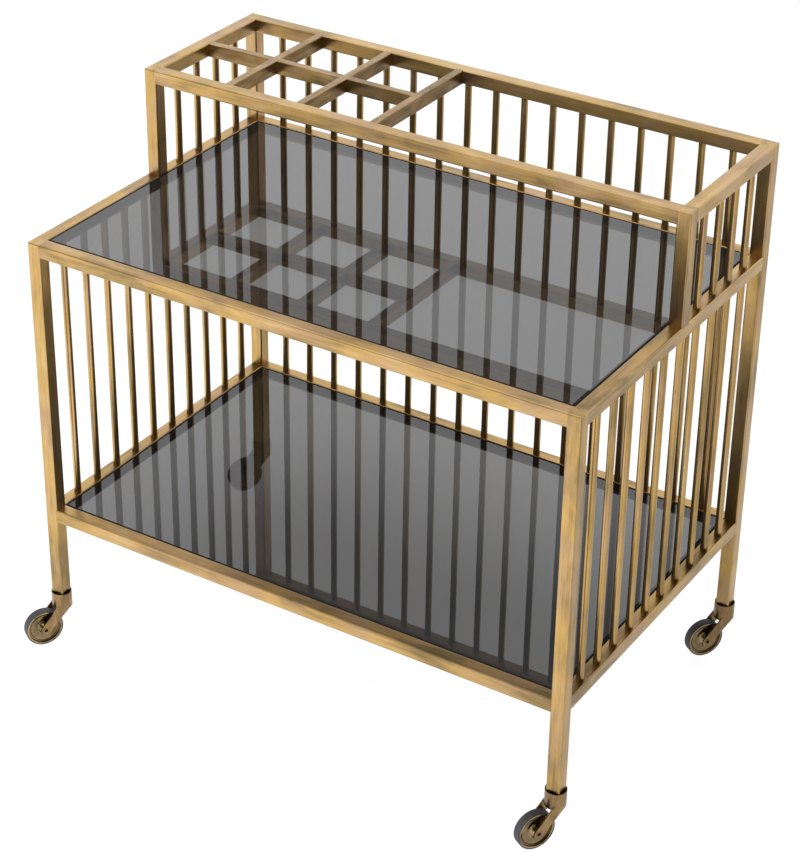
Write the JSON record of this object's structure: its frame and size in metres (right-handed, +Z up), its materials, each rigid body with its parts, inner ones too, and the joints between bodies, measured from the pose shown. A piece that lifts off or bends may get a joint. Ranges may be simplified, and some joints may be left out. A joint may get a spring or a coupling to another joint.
{
  "type": "dessert trolley",
  "caption": "Square-tube serving trolley with a rear gallery, bottle cells, smoked glass shelves, spindle sides and swivel casters.",
  "frame": {"origin": "on the floor, under the middle of the footprint with the casters as they stand", "axes": "+X to the right along the length, +Y to the back where the gallery stands, +Z up"},
  "size_m": [0.8706, 0.5734, 0.806],
  "materials": {
    "frame_brass": "aged antique brass, brushed, slightly mottled",
    "spindle_brass": "aged antique brass, brushed",
    "caster_brass": "aged antique brass, satin",
    "ledge_metal": "dark, matt",
    "smoked_glass": "smoked grey, polished",
    "seal_rubber": "black, matt",
    "tyre_rubber": "dark grey, matt",
    "black_plastic": "black",
    "steel": "bright"
  },
  "bodies": {
    "frame": {"leg_front_left": "frame_brass", "leg_front_right": "frame_brass", "leg_rear_left": "frame_brass", "leg_rear_right": "frame_brass", "gallery_post_left": "frame_brass", "gallery_post_right": "frame_brass", "lower_rail_front": "frame_brass", "lower_rail_rear": "frame_brass", "lower_rail_left": "frame_brass", "lower_rail_right": "frame_brass", "middle_rail_front": "frame_brass", "middle_rail_rear": "frame_brass", "middle_rail_left": "frame_brass", "middle_rail_right": "frame_brass", "gallery_rail_front": "frame_brass", "gallery_rail_rear": "frame_brass", "gallery_rail_left": "frame_brass", "gallery_rail_right": "frame_brass", "cross_divider_1": "frame_brass", "cross_divider_2": "frame_brass", "cross_divider_3": "frame_brass", "long_divider": "frame_brass", "back_lower_spindles": "spindle_brass", "back_upper_spindles": "spindle_brass", "left_lower_spindles": "spindle_brass", "right_lower_spindles": "spindle_brass", "left_upper_spindles": "spindle_brass", "right_upper_spindles": "spindle_brass", "lower_ledge": "ledge_metal", "middle_ledge": "ledge_metal", "lower_seal": "seal_rubber", "middle_seal": "seal_rubber", "lower_glass": "smoked_glass", "middle_glass": "smoked_glass", "leg_plugs": "black_plastic", "caster_stems": "steel", "thrust_washers": "black_plastic"},
    "caster_front_left": {"fork_front_left": "caster_brass", "axle_front_left": "caster_brass"},
    "caster_front_right": {"fork_front_right": "caster_brass", "axle_front_right": "caster_brass"},
    "caster_rear_left": {"fork_rear_left": "caster_brass", "axle_rear_left": "caster_brass"},
    "caster_rear_right": {"fork_rear_right": "caster_brass", "axle_rear_right": "caster_brass"},
    "wheel_front_left": {"wheel_front_left": "caster_brass", "tyre_front_left": "tyre_rubber"},
    "wheel_front_right": {"wheel_front_right": "caster_brass", "tyre_front_right": "tyre_rubber"},
    "wheel_rear_left": {"wheel_rear_left": "caster_brass", "tyre_rear_left": "tyre_rubber"},
    "wheel_rear_right": {"wheel_rear_right": "caster_brass", "tyre_rear_right": "tyre_rubber"}
  },
  "joints": [
    {"name": "front_left_swivel", "type": "hinge", "parent": "frame", "child": "caster_front_left", "pos_m": [-0.39938, -0.23297, 0.07], "axis": [0, 0, 1], "continuous": true},
    {"name": "front_left_roll", "type": "hinge", "parent": "caster_front_left", "child": "wheel_front_left", "pos_m": [-0.41555, -0.25883, 0.028], "axis": [0.848, -0.5299, 0], "continuous": true},
    {"name": "front_right_swivel", "type": "hinge", "parent": "frame", "child": "caster_front_right", "pos_m": [0.42062, -0.23297, 0.07], "axis": [0, 0, 1], "continuous": true},
    {"name": "front_right_roll", "type": "hinge", "parent": "caster_front_right", "child": "wheel_front_right", "pos_m": [0.40583, -0.25964, 0.028], "axis": [0.8746, -0.4848, 0], "continuous": true},
    {"name": "rear_left_swivel", "type": "hinge", "parent": "frame", "child": "caster_rear_left", "pos_m": [-0.39938, 0.27203, 0.07], "axis": [0, 0, 1], "continuous": true},
    {"name": "rear_left_roll", "type": "hinge", "parent": "caster_rear_left", "child": "wheel_rear_left", "pos_m": [-0.41555, 0.24617, 0.028], "axis": [0.848, -0.5299, 0], "continuous": true},
    {"name": "rear_right_swivel", "type": "hinge", "parent": "frame", "child": "caster_rear_right", "pos_m": [0.42062, 0.27203, 0.07], "axis": [0, 0, 1], "continuous": true},
    {"name": "rear_right_roll", "type": "hinge", "parent": "caster_rear_right", "child": "wheel_rear_right", "pos_m": [0.40312, 0.24705, 0.028], "axis": [0.8192, -0.5736, 0], "continuous": true}
  ]
}
